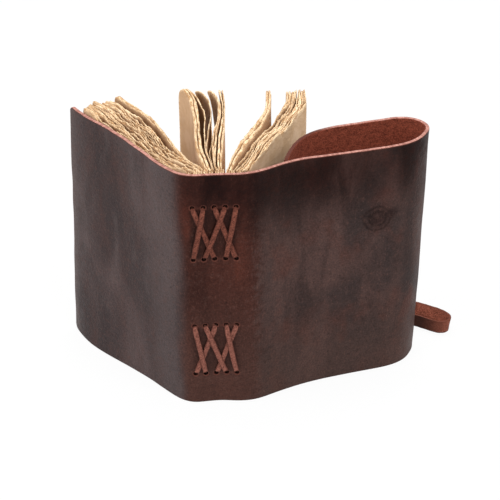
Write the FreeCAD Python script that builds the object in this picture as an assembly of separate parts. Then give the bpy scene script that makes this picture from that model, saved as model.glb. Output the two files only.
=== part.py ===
"""Leather wrap journal, standing open on the lower edges of its cover.

Frame: +Z up, origin in the foot of the spine at the middle of its width,
-Y the outer (grain) side of the spine, +X towards the back cover. Millimetres.

The cover is one sheet of leather, cut here only at the three lines where it
hinges. Its plan is a chain of tangent arcs. Each arc is given as a share of
its panel's width and a turn in degrees, where a turn above 0 curls inwards,
towards the pages.
"""
import FreeCAD, Part
import math
import os

# --- leather cover ---------------------------------------------------------
COVER_HEIGHT = 178.0
LEATHER = 2.5
SPINE_WIDTH = 40.0
FRONT_WIDTH = 127.0
BACK_WIDTH = 128.5
FLAP_WIDTH = 147.0
CORNER_RADIUS = 4.0
HINGE_GAP = 0.3
SPINE_HEADING = 7.5

SPINE_LEFT_ARCS = ((0.57, 0), (0.43, 29))
SPINE_RIGHT_ARCS = ((0.48, -10), (0.52, 10.5))
FRONT_LOW_ARCS = ((0.07, 23), (0.16, 3), (0.24, -6.5), (0.24, 4), (0.22, 19), (0.07, 6))
FRONT_HIGH_ARCS = ((0.07, 25), (0.16, 10.5), (0.24, -3.5), (0.24, -8), (0.22, 9), (0.07, 4))
BACK_ARCS = ((0.11, 26), (0.20, -12), (0.23, -6), (0.20, 0), (0.09, 5), (0.09, 16), (0.08, 23))
FLAP_ARCS = (
    (0.068, 8), (0.081, 60), (0.081, 40), (0.095, 34), (0.232, -5),
    (0.163, 23), (0.122, 27), (0.108, 9), (0.05, -3),
)

# --- pages -----------------------------------------------------------------
PAGE_HEIGHT = 175.0
PAGE_WIDTH = 118.0
SIGNATURES = 5
FOLD_PITCH = 7.0
FOLD_DEPTH = 10.0
LEAF_START = 5.0
PAGE_FIT = 0.3

# Each bundle of leaves: signature, shift from its fold, thickness, heading at
# the fold, and its turns over five equal stretches (above 0 turns to the left).
BUNDLES = (
    (0, -1.6, 4.6, 147, (-17, -7, 3, 2, 4)),
    (0, 0.0, 4.8, 140, (-12, -6, 3, 4, 5)),
    (0, 2.5, 5.0, 134, (-8, -6, 4, 5, 6)),
    (1, -2.0, 4.8, 130, (-6, -5, 4, 6, 6)),
    (1, -0.5, 1.2, 125, (-7, -7, 4, 10, 6)),
    (1, 2.5, 3.2, 101, (-2, -7, -2, 11, 19)),
    (2, -2.0, 1.2, 95, (2, -5, 1, 6, 5)),
    (2, -0.5, 1.4, 94, (2, -6, -4, 15, 23)),
    (2, 1.5, 2.2, 95, (-1, -6, -4, 12, 21)),
    (3, -2.5, 3.2, 96, (-5, -3, 1, 5, 5)),
    (3, 2.0, 2.4, 82, (-9, -6, 4, 11, 11)),
    (4, -1.5, 5.0, 69, (2, -5, -2, 8, 15)),
    (4, 3.0, 6.0, 67, (3, -6, -3, 10, 20)),
)

# --- sewing ----------------------------------------------------------------
LACE_WIDTH = 4.0
LACE = 1.2
LACE_NECK = 3.0
LACE_FIT = 0.2
HOLE_DIAMETER = LACE_NECK + 2 * LACE_FIT
LACE_STAND_OFF = 0.5
STITCH_HEIGHT = 39.0
STITCH_INSET = 24.0
SEWING_DEPTH = 7.0
# Stitches as (hole in the row nearer the end, hole in the row nearer the
# middle, layer): layer 0 lies on the leather and layer 1 crosses over it.
UPPER_STITCHES = ((0, 2, 0), (2, 4, 0), (1, 0, 1), (3, 1, 1), (4, 3, 1))
LOWER_STITCHES = ((2, 0, 0), (4, 2, 0), (0, 1, 1), (1, 3, 1), (3, 4, 1))

# --- tie strap -------------------------------------------------------------
STRAP_WIDTH = 9.0
STRAP = 2.2
STRAP_DIAMETER = 5.0
STRAP_FLOOR = 4.6
STRAP_EDGE = 12.0
STRAP_LEAD = 7.0
NECK_STAND_OUT = 0.6
SLIT_FIT = 0.3
KNOT_DEPTH = 6.0
KNOT_WIDTH = 8.0
KNOT_HEIGHT = 15.0
COIL_RADIUS = 21.5
COIL_CENTRE = (112.0, 124.0)
COIL_FLOOR = 0.1
STRAP_ROUTE = (
    (36.6, 32.0, 82.6),
    (38.4, 37.4, 74.2),
    (43.2, 44.2, 66.6),
    (50.4, 53.2, 57.0),
    (58.8, 62.0, 45.5),
    (68.6, 69.6, 33.0),
    (80.0, 76.0, 21.0),
    (92.4, 81.2, 11.6),
    (105.2, 85.8, 6.2),
    (118.0, 90.6, STRAP_FLOOR),
    (130.2, 93.6, STRAP_FLOOR),
    (142.0, 91.0, STRAP_FLOOR),
    (151.6, 85.4, STRAP_FLOOR),
    (159.8, 81.0, STRAP_FLOOR),
    (166.4, 82.8, STRAP_FLOOR),
    (168.2, 89.4, STRAP_FLOOR),
    (163.6, 96.4, STRAP_FLOOR),
    (154.6, 102.6, STRAP_FLOOR),
    (143.6, 106.8, STRAP_FLOOR),
    (131.4, 107.8, STRAP_FLOOR),
    (120.5, 105.5, STRAP_FLOOR),
)


# --- plan curves -----------------------------------------------------------
def step(frame, distance):
    """The frame (x, y, heading) moved straight ahead by a distance."""
    x, y, heading = frame
    return (x + distance * math.cos(heading), y + distance * math.sin(heading), heading)


def walk(frame, width, arcs, side):
    """Frames at the start, middle and end of each arc of a chain.

    side is 1 where the inner face lies to the left of the walk, -1 to the right.
    """
    frames = [frame]
    for share, turn in arcs:
        half_turn = side * math.radians(turn) / 2
        half_length = share * width / 2
        chord = half_length
        if half_turn:
            chord = half_length * math.sin(half_turn / 2) / (half_turn / 2)
        for _ in range(2):
            x, y, heading = frames[-1]
            moved = step((x, y, heading + half_turn / 2), chord)
            frames.append((moved[0], moved[1], heading + half_turn))
    return frames


def turned_back(frame):
    """The same place with the heading reversed."""
    return (frame[0], frame[1], frame[2] + math.pi)


def inward(frame, side, distance, z):
    """A point at height z, moved from the outer face towards the inner one."""
    x, y, heading = frame
    normal_x = -side * math.sin(heading)
    normal_y = side * math.cos(heading)
    return FreeCAD.Vector(x + distance * normal_x, y + distance * normal_y, z)


def chain_edges(frames, side, distance, z):
    """Arcs, or lines where the sheet is flat, along one face of the sheet."""
    edges = []
    for i in range(0, len(frames) - 1, 2):
        a, b, c = (inward(frame, side, distance, z) for frame in frames[i:i + 3])
        if abs(frames[i + 2][2] - frames[i][2]) < 1e-6:
            edges.append(Part.LineSegment(a, c).toShape())
        else:
            edges.append(Part.Arc(a, b, c).toShape())
    return edges


def cap_edge(frame, side, near, far, z, rounded, forward):
    """The end of a sheet between two depths: flat, or a half-round nose."""
    a = inward(frame, side, near, z)
    c = inward(frame, side, far, z)
    if not rounded:
        return Part.LineSegment(a, c).toShape()
    middle = inward(frame, side, (near + far) / 2, z)
    reach = forward * (far - near) / 2
    nose = FreeCAD.Vector(reach * math.cos(frame[2]), reach * math.sin(frame[2]), 0)
    return Part.Arc(a, middle + nose, c).toShape()


def sheet_wire(frames, side, near, far, z, round_start=False, round_end=False):
    """Closed outline of a bent sheet between two depths at height z."""
    edges = chain_edges(frames, side, near, z)
    edges.append(cap_edge(frames[-1], side, near, far, z, round_end, 1))
    edges.extend(chain_edges(frames, side, far, z))
    edges.append(cap_edge(frames[0], side, near, far, z, round_start, -1))
    return Part.Wire(Part.__sortEdges__(edges))


def prism(wire, height):
    """A closed wire pulled straight up."""
    return Part.Face(wire).extrude(FreeCAD.Vector(0, 0, height))


# --- the plan of the whole sheet -------------------------------------------
centre_right = (0.0, -LEATHER / 2, math.radians(SPINE_HEADING))
spine_right = walk(centre_right, SPINE_WIDTH / 2, SPINE_RIGHT_ARCS, 1)
spine_left = walk(turned_back(centre_right), SPINE_WIDTH / 2, SPINE_LEFT_ARCS, -1)
spine_frames = [turned_back(frame) for frame in reversed(spine_left)] + spine_right[1:]

hinge_reach = LEATHER / 2 + HINGE_GAP
front_start = step(spine_left[-1], hinge_reach)
front_low = walk(front_start, FRONT_WIDTH - hinge_reach, FRONT_LOW_ARCS, -1)
front_high = walk(front_start, FRONT_WIDTH - hinge_reach, FRONT_HIGH_ARCS, -1)
back_frames = walk(step(spine_right[-1], hinge_reach), BACK_WIDTH - hinge_reach, BACK_ARCS, 1)
flap_frames = walk(step(back_frames[-1], HINGE_GAP), FLAP_WIDTH, FLAP_ARCS, 1)


def spine_face(x, depth):
    """Y of the spine sheet at x, at a depth measured in from its outer face."""
    points = [inward(frame, 1, depth, 0) for frame in spine_frames]
    for a, b in zip(points, points[1:]):
        if a.x <= x <= b.x:
            return a.y + (b.y - a.y) * (x - a.x) / (b.x - a.x)
    return points[-1].y


def fold_x(index):
    """X of one signature's fold, which is also its column of sewing holes."""
    return (index - (SIGNATURES - 1) / 2) * FOLD_PITCH


def stitch_rows(upper):
    """Heights of the rows nearer the end of the spine and nearer its middle."""
    outer = STITCH_INSET
    inner = STITCH_INSET + STITCH_HEIGHT
    if upper:
        return COVER_HEIGHT - outer, COVER_HEIGHT - inner
    return outer, inner


# --- leather panels --------------------------------------------------------
def rounded_corners(shape, low_frame, high_frame, side):
    """Ease the two free corners of a panel, at its edge across the thickness."""
    free_edge = (
        inward(low_frame, side, LEATHER / 2, 0),
        inward(high_frame, side, LEATHER / 2, COVER_HEIGHT),
    )
    corners = []
    for edge in shape.Edges:
        near = min(edge.CenterOfMass.distanceToPoint(point) for point in free_edge)
        if edge.Length < LEATHER * 1.05 and near < LEATHER / 4:
            corners.append(edge)
    return shape.makeFillet(CORNER_RADIUS, corners)


def sewing_holes(diameter, near_y, far_y):
    """Round bores along Y through every sewing hole."""
    bores = []
    for upper in (True, False):
        for z in stitch_rows(upper):
            for index in range(SIGNATURES):
                start = FreeCAD.Vector(fold_x(index), near_y, z)
                axis = FreeCAD.Vector(0, 1, 0)
                bores.append(Part.makeCylinder(diameter / 2, far_y - near_y, start, axis))
    return bores


def make_spine_panel():
    wire = sheet_wire(spine_frames, 1, 0, LEATHER, 0, True, True)
    panel = prism(wire, COVER_HEIGHT)
    return panel.cut(sewing_holes(HOLE_DIAMETER, -3 * LEATHER, 3 * LEATHER))


def make_front_cover():
    low = sheet_wire(front_low, -1, 0, LEATHER, 0)
    high = sheet_wire(front_high, -1, 0, LEATHER, COVER_HEIGHT)
    panel = Part.makeLoft([low, high], True, True)
    return rounded_corners(panel, front_low[-1], front_high[-1], -1)


def make_back_cover():
    return prism(sheet_wire(back_frames, 1, 0, LEATHER, 0), COVER_HEIGHT)


def slit_frame():
    """Where the tie strap passes through the flap, near its free edge."""
    return step(turned_back(flap_frames[-1]), STRAP_EDGE)


def slit_block(width, height, near, far):
    """An upright block through the flap at the slit, between two depths."""
    x, y, heading = slit_frame()
    block = Part.makeBox(width, far - near, height)
    block.translate(FreeCAD.Vector(-width / 2, near, COVER_HEIGHT / 2 - height / 2))
    block.rotate(FreeCAD.Vector(), FreeCAD.Vector(0, 0, 1), math.degrees(heading) + 180)
    block.translate(FreeCAD.Vector(x, y, 0))
    return block


def make_flap():
    panel = prism(sheet_wire(flap_frames, 1, 0, LEATHER, 0), COVER_HEIGHT)
    panel = rounded_corners(panel, flap_frames[-1], flap_frames[-1], 1)
    slit = slit_block(STRAP + 2 * SLIT_FIT, STRAP_WIDTH + 2 * SLIT_FIT, -2 * LEATHER, 3 * LEATHER)
    return panel.cut(slit)


# --- pages -----------------------------------------------------------------
def fold_back(index):
    """Y of a signature's back, just clear of the leather."""
    return spine_face(fold_x(index), LEATHER) + PAGE_FIT


def make_signature_fold(index):
    """One folded back: round against the leather and square behind."""
    radius = FOLD_PITCH / 2
    middle_y = fold_back(index) + radius
    fold = Part.makeCylinder(radius, PAGE_HEIGHT, FreeCAD.Vector(fold_x(index), middle_y, 0))
    block = Part.makeBox(FOLD_PITCH, FOLD_DEPTH - middle_y, PAGE_HEIGHT)
    block.translate(FreeCAD.Vector(fold_x(index) - radius, middle_y, 0))
    return fold.fuse(block)


def make_bundle(signature, shift, thickness, heading, turns):
    """A bundle of leaves that leaves its fold and fans out."""
    start = (fold_x(signature) + shift, LEAF_START, math.radians(heading))
    arcs = [(1 / len(turns), turn) for turn in turns]
    frames = walk(start, PAGE_WIDTH, arcs, 1)
    return prism(sheet_wire(frames, 1, -thickness / 2, thickness / 2, 0), PAGE_HEIGHT)


def sewing_channels():
    """Room inside each fold for the lace that runs down it."""
    channels = []
    for upper in (True, False):
        end_row, middle_row = stitch_rows(upper)
        low = min(end_row, middle_row) - LACE_NECK / 2 - LACE_FIT
        height = STITCH_HEIGHT + LACE_NECK + 2 * LACE_FIT
        for index in range(SIGNATURES):
            width = LACE_WIDTH + 2 * LACE_FIT
            channel = Part.makeBox(width, LACE + 2 * LACE_FIT, height)
            corner = FreeCAD.Vector(fold_x(index) - width / 2, SEWING_DEPTH - LACE_FIT, low)
            channel.translate(corner)
            channels.append(channel)
    return channels


def make_text_block():
    pieces = [make_signature_fold(index) for index in range(SIGNATURES)]
    pieces += [make_bundle(*bundle) for bundle in BUNDLES]
    block = pieces[0].multiFuse(pieces[1:]).removeSplitter()
    bores = sewing_holes(HOLE_DIAMETER, -2 * LEATHER, SEWING_DEPTH + LACE / 2)
    return block.cut(bores + sewing_channels())


# --- laces -----------------------------------------------------------------
def lace_hole(index, z, layer):
    """Middle of a stitch's end on the outer face, for the layer it lies in."""
    y = spine_face(fold_x(index), 0) - LACE_STAND_OFF - LACE * (layer + 0.5)
    return FreeCAD.Vector(fold_x(index), y, z)


def flat_lace(start, end):
    """A flat strip of lace with round ends, its broad face towards -Y."""
    along = (end - start).normalize()
    across = along.cross(FreeCAD.Vector(0, 1, 0)).normalize()
    through = across.cross(along) * LACE
    side = across * (LACE_WIDTH / 2)
    nose = along * (LACE_WIDTH / 2)
    a, b = start - through / 2, end - through / 2
    edges = [
        Part.LineSegment(a - side, b - side).toShape(),
        Part.Arc(b - side, b + nose, b + side).toShape(),
        Part.LineSegment(b + side, a + side).toShape(),
        Part.Arc(a + side, a - nose, a - side).toShape(),
    ]
    return Part.Face(Part.Wire(edges)).extrude(through)


def make_lace(upper):
    """One continuous lace: crossed outside, straight down each fold inside."""
    end_row, middle_row = stitch_rows(upper)
    stitches = UPPER_STITCHES if upper else LOWER_STITCHES
    rows = (end_row, middle_row)
    pieces = []
    for end_hole, middle_hole, layer in stitches:
        ends = (lace_hole(end_hole, end_row, layer), lace_hole(middle_hole, middle_row, layer))
        pieces.append(flat_lace(*ends))
        for end in ends:
            neck_length = SEWING_DEPTH + LACE / 2 - end.y
            axis = FreeCAD.Vector(0, 1, 0)
            pieces.append(Part.makeCylinder(LACE_NECK / 2, neck_length, end, axis))
    for index in range(SIGNATURES):
        run = Part.makeBox(LACE_WIDTH, LACE, STITCH_HEIGHT + LACE_NECK)
        corner = FreeCAD.Vector(fold_x(index) - LACE_WIDTH / 2, SEWING_DEPTH, min(rows) - LACE_NECK / 2)
        run.translate(corner)
        pieces.append(run)
    return pieces[0].multiFuse(pieces[1:]).removeSplitter()


# --- tie strap -------------------------------------------------------------
def strap_route():
    """Points of the strap's middle line, from the slit to the rolled end."""
    lead = [inward(slit_frame(), -1, -reach, COVER_HEIGHT / 2)
            for reach in (NECK_STAND_OUT, NECK_STAND_OUT + STRAP_LEAD)]
    return lead + [FreeCAD.Vector(*point) for point in STRAP_ROUTE]


def rounded_path(points, share=0.45):
    """Straight runs joined by tangent arcs, as large as the runs allow."""
    edges = []
    radii = []
    last = points[0]
    for before, corner, after in zip(points, points[1:], points[2:]):
        towards = (before - corner).normalize()
        away = (after - corner).normalize()
        half_turn = (math.pi - towards.getAngle(away)) / 2
        trim = share * min(before.distanceToPoint(corner), after.distanceToPoint(corner))
        radius = trim / math.tan(half_turn)
        arc_start = corner + towards * trim
        arc_end = corner + away * trim
        bisector = (towards + away).normalize()
        middle = corner + bisector * (radius / math.cos(half_turn) - radius)
        edges.append(Part.LineSegment(last, arc_start).toShape())
        edges.append(Part.Arc(arc_start, middle, arc_end).toShape())
        radii.append(radius)
        last = arc_end
    edges.append(Part.LineSegment(last, points[-1]).toShape())
    return Part.Wire(edges), radii


def make_tie_strap():
    """Round tube of the flat strap's section, along the stretch not rolled up."""
    path, radii = rounded_path(strap_route())
    start = path.Edges[0].Vertexes[0].Point
    direction = path.Edges[0].tangentAt(path.Edges[0].FirstParameter)
    ring = Part.Wire(Part.Edge(Part.Circle(start, direction, STRAP_DIAMETER / 2)))
    tube = path.makePipeShell([ring], True, False)
    section = math.pi * STRAP_DIAMETER ** 2 / 4
    print("strap length", round(path.Length, 1), "radii", [round(r, 1) for r in radii])
    print("strap volume over section times length", round(tube.Volume / section / path.Length, 4))
    return tube


def make_tie_coil():
    """Outer shape of the rolled end of the strap."""
    base = FreeCAD.Vector(COIL_CENTRE[0], COIL_CENTRE[1], COIL_FLOOR)
    return Part.makeCylinder(COIL_RADIUS, STRAP_WIDTH, base)


def make_tie_knot():
    """The strap's knotted end, behind the slit on the flap's inner side."""
    neck = slit_block(STRAP, STRAP_WIDTH, -NECK_STAND_OUT, LEATHER + KNOT_DEPTH / 2)
    near = LEATHER + PAGE_FIT
    knot = slit_block(KNOT_WIDTH, KNOT_HEIGHT, near, near + KNOT_DEPTH)
    knot = knot.makeFillet(KNOT_DEPTH / 3, knot.Edges)
    return neck.fuse(knot).removeSplitter()


NODES = {
    "spine_panel": make_spine_panel,
    "front_cover": make_front_cover,
    "back_cover": make_back_cover,
    "flap": make_flap,
    "text_block": make_text_block,
    "upper_lace": lambda: make_lace(True),
    "lower_lace": lambda: make_lace(False),
    "tie_knot": make_tie_knot,
    "tie_strap": make_tie_strap,
    "tie_coil": make_tie_coil,
}

os.makedirs("parts", exist_ok=True)
for name, make in NODES.items():
    shape = make()
    shape.exportStep("parts/" + name + ".step")
    print(name, len(shape.Solids), "solid", round(shape.Volume), "mm3", shape.isValid())
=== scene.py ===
"""Leather wrap journal, dressed over its CAD frame.

Lengths in the tables are millimetres in the CAD frame: +Z up, origin in the foot
of the spine, -Y the grain side of the spine, +X towards the back cover.
The leather is one sheet, followed by s, the distance along it from the front
cover's free edge, and by z. It is cut into four pieces where a body can carry it.
"""

import bpy
import math
import numpy as np
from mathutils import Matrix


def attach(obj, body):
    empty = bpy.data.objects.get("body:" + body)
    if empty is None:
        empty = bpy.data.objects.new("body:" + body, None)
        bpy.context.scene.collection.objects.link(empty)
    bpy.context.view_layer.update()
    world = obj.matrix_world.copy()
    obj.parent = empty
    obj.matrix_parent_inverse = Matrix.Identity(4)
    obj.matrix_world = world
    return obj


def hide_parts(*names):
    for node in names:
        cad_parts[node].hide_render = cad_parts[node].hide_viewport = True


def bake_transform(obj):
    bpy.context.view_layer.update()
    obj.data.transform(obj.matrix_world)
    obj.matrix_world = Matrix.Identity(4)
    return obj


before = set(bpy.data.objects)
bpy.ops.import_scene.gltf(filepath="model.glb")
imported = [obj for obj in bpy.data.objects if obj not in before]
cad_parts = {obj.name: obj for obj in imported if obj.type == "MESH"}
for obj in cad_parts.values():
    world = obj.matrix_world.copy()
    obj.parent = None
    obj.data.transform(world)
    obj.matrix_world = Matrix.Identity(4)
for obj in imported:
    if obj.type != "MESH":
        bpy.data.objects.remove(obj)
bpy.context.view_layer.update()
MM = 0.001

# --- the object's sizes ------------------------------------------------------
HEIGHT = 178.0
LEATHER = 2.5
FRONT, SPINE, BACK, FLAP = 125.8, 40.0, 128.5, 147.0
SEAM_LEFT = FRONT
SEAM_RIGHT = SEAM_LEFT + SPINE
SEAM_FLAP = SEAM_RIGHT + BACK
SHEET_END = SEAM_FLAP + FLAP
PAGE_TOP = 175.0
LEAF_WIDTH = 118
HOLE_RADIUS = 1.6
HOLE_X = (-14.0, -7.0, 0.0, 7.0, 14.0)
UPPER_ROWS = (154.0, 115.0)
LOWER_ROWS = (24.0, 63.0)
LACE_WIDTH, LACE_THICK = 3.5, 1.2
STRAP_WIDTH, STRAP_THICK = 9.6, 2.1
SECTION_CORNER = 0.18


# --- small tools -------------------------------------------------------------
WAVE_SIZE = 2048
FIELD_SIZE = 97


def wave(x, seed, length):
    """Smooth random wave along x, from -1 to 1, with features of one length."""
    table = np.random.RandomState(seed).uniform(-1, 1, WAVE_SIZE)
    t = np.asarray(x, float) / length
    i = np.floor(t).astype(int)
    f = t - i
    f = f * f * (3 - 2 * f)
    return table[i % WAVE_SIZE] * (1 - f) + table[(i + 1) % WAVE_SIZE] * f


def ripple(x, y, seed, length):
    """Smooth random field over x and y, from -1 to 1."""
    table = np.random.RandomState(seed).uniform(-1, 1, (FIELD_SIZE, FIELD_SIZE))
    tx, ty = np.asarray(x, float) / length, np.asarray(y, float) / length
    i, j = np.floor(tx).astype(int), np.floor(ty).astype(int)
    fx, fy = tx - i, ty - j
    fx, fy = fx * fx * (3 - 2 * fx), fy * fy * (3 - 2 * fy)
    left, right = i % FIELD_SIZE, (i + 1) % FIELD_SIZE
    a, b = (table[left, row % FIELD_SIZE] * (1 - fx) + table[right, row % FIELD_SIZE] * fx
            for row in (j, j + 1))
    return a * (1 - fy) + b * fy


def unit(vectors):
    """The same directions, one long."""
    return vectors / np.linalg.norm(vectors, axis=-1, keepdims=True)


def distances(line):
    """How far along a line each of its points lies."""
    return np.r_[0, np.cumsum(np.linalg.norm(np.diff(line, axis=0), axis=1))]


def show(name, data):
    """A new object that shows a mesh, a camera or a lamp."""
    thing = bpy.data.objects.new(name, data)
    bpy.context.scene.collection.objects.link(thing)
    return thing


def smooth_line(points, count):
    """Points evenly spaced along a smooth curve through a few points."""
    p = np.array(points, float)
    ends = np.vstack([2 * p[0] - p[1], p, 2 * p[-1] - p[-2]])
    out = []
    for i in range(1, len(ends) - 2):
        a, b, c, d = ends[i - 1:i + 3]
        t = np.linspace(0, 1, 16, endpoint=False)[:, None]
        out.append(0.5 * (2 * b + (c - a) * t + (2 * a - 5 * b + 4 * c - d) * t ** 2
                          + (3 * b - a - 3 * c + d) * t ** 3))
    out = np.vstack(out + [p[-1:]])
    along = distances(out)
    even = np.linspace(0, along[-1], count)
    return np.column_stack([np.interp(even, along, out[:, k]) for k in range(out.shape[1])])


def new_mesh(name, verts, faces, materials, face_material=None, attributes=None):
    """A mesh object from millimetre points, with vector attributes on its points."""
    mesh = bpy.data.meshes.new(name)
    mesh.from_pydata((np.asarray(verts) * MM).tolist(), [], [list(map(int, f)) for f in faces])
    for material in materials:
        mesh.materials.append(material)
    if face_material is not None:
        mesh.polygons.foreach_set("material_index", np.asarray(face_material, np.int32))
    for key, values in (attributes or {}).items():
        layer = mesh.attributes.new(key, "FLOAT_VECTOR", "POINT")
        layer.data.foreach_set("vector", np.asarray(values, np.float32).ravel())
    mesh.polygons.foreach_set("use_smooth", [True] * len(mesh.polygons))
    mesh.update()
    return show(name, mesh)


# --- material building -------------------------------------------------------
def put_node(tree, kind, inputs, output=0, **values):
    """A new node with its values set and its inputs filled; gives one of its outputs.

    An input takes a number, a vector, a colour or another node's output.
    """
    node = tree.nodes.new(kind)
    for key, value in values.items():
        setattr(node, key, value)
    for key, value in inputs.items():
        socket = node.inputs[key]
        if isinstance(value, tuple):
            socket.default_value = value + (1.0,) * (len(socket.default_value) - len(value))
        elif isinstance(value, (int, float)):
            socket.default_value = value
        else:
            tree.links.new(value, socket)
    return node.outputs[output]


class Nodes:
    """A few short calls to lay out a material's nodes."""

    def __init__(self, name, roughness, specular):
        self.material = bpy.data.materials.new(name)
        self.material.use_nodes = True
        self.tree = self.material.node_tree
        self.shader = self.tree.nodes["Principled BSDF"]
        self.shader.inputs["Roughness"].default_value = roughness
        self.shader.inputs["Specular IOR Level"].default_value = specular

    def add(self, kind, inputs, output=0, **values):
        return put_node(self.tree, kind, inputs, output, **values)

    def attribute(self, name):
        return self.add("ShaderNodeAttribute", {}, "Vector", attribute_name=name)

    def split(self, vector):
        node = self.tree.nodes.new("ShaderNodeSeparateXYZ")
        self.tree.links.new(vector, node.inputs[0])
        return node.outputs

    def scaled(self, vector, scale):
        return self.add("ShaderNodeVectorMath", {0: vector, 1: scale}, operation="MULTIPLY")

    def noise(self, vector, scale, detail, rough=0.55, distortion=0.0):
        inputs = {"Vector": vector, "Scale": scale, "Detail": detail, "Roughness": rough,
                  "Distortion": distortion}
        return self.add("ShaderNodeTexNoise", inputs, "Fac")

    def remap(self, value, low, high, to_low=0.0, to_high=1.0, curve="SMOOTHSTEP"):
        inputs = {"Value": value, "From Min": low, "From Max": high, "To Min": to_low, "To Max": to_high}
        return self.add("ShaderNodeMapRange", inputs, "Result", interpolation_type=curve)

    def math(self, operation, a, b=0.0):
        return self.add("ShaderNodeMath", {0: a, 1: b}, operation=operation)

    def times(self, a, b):
        return self.math("MULTIPLY", a, b)

    def window(self, value, rise, fall, high=1.0, after=0.0):
        """0 before the rise, high between rise and fall, and that times after beyond the fall."""
        return self.times(self.remap(value, *rise, 0.0, high), self.remap(value, *fall, 1.0, after))

    def mix(self, factor, a, b, blend="MIX"):
        inputs = {0: factor, 6: a, 7: b}
        return self.add("ShaderNodeMix", inputs, 2, data_type="RGBA", blend_type=blend)

    def tinge(self, colour, value, low, high, strength, tone):
        """Mix a tone into a colour: none where value is low, by strength where it is high."""
        return self.mix(self.remap(value, low, high, 0.0, strength), colour, tone)

    def bump(self, height, strength, distance, normal=None):
        inputs = {"Strength": strength, "Distance": distance, "Height": height}
        if normal is not None:
            inputs["Normal"] = normal
        return self.add("ShaderNodeBump", inputs)

    def finish(self, colour, normal, roughness=None):
        for key, value in (("Base Color", colour), ("Normal", normal), ("Roughness", roughness)):
            if value is not None:
                self.tree.links.new(value, self.shader.inputs[key])
        return self.material


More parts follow.
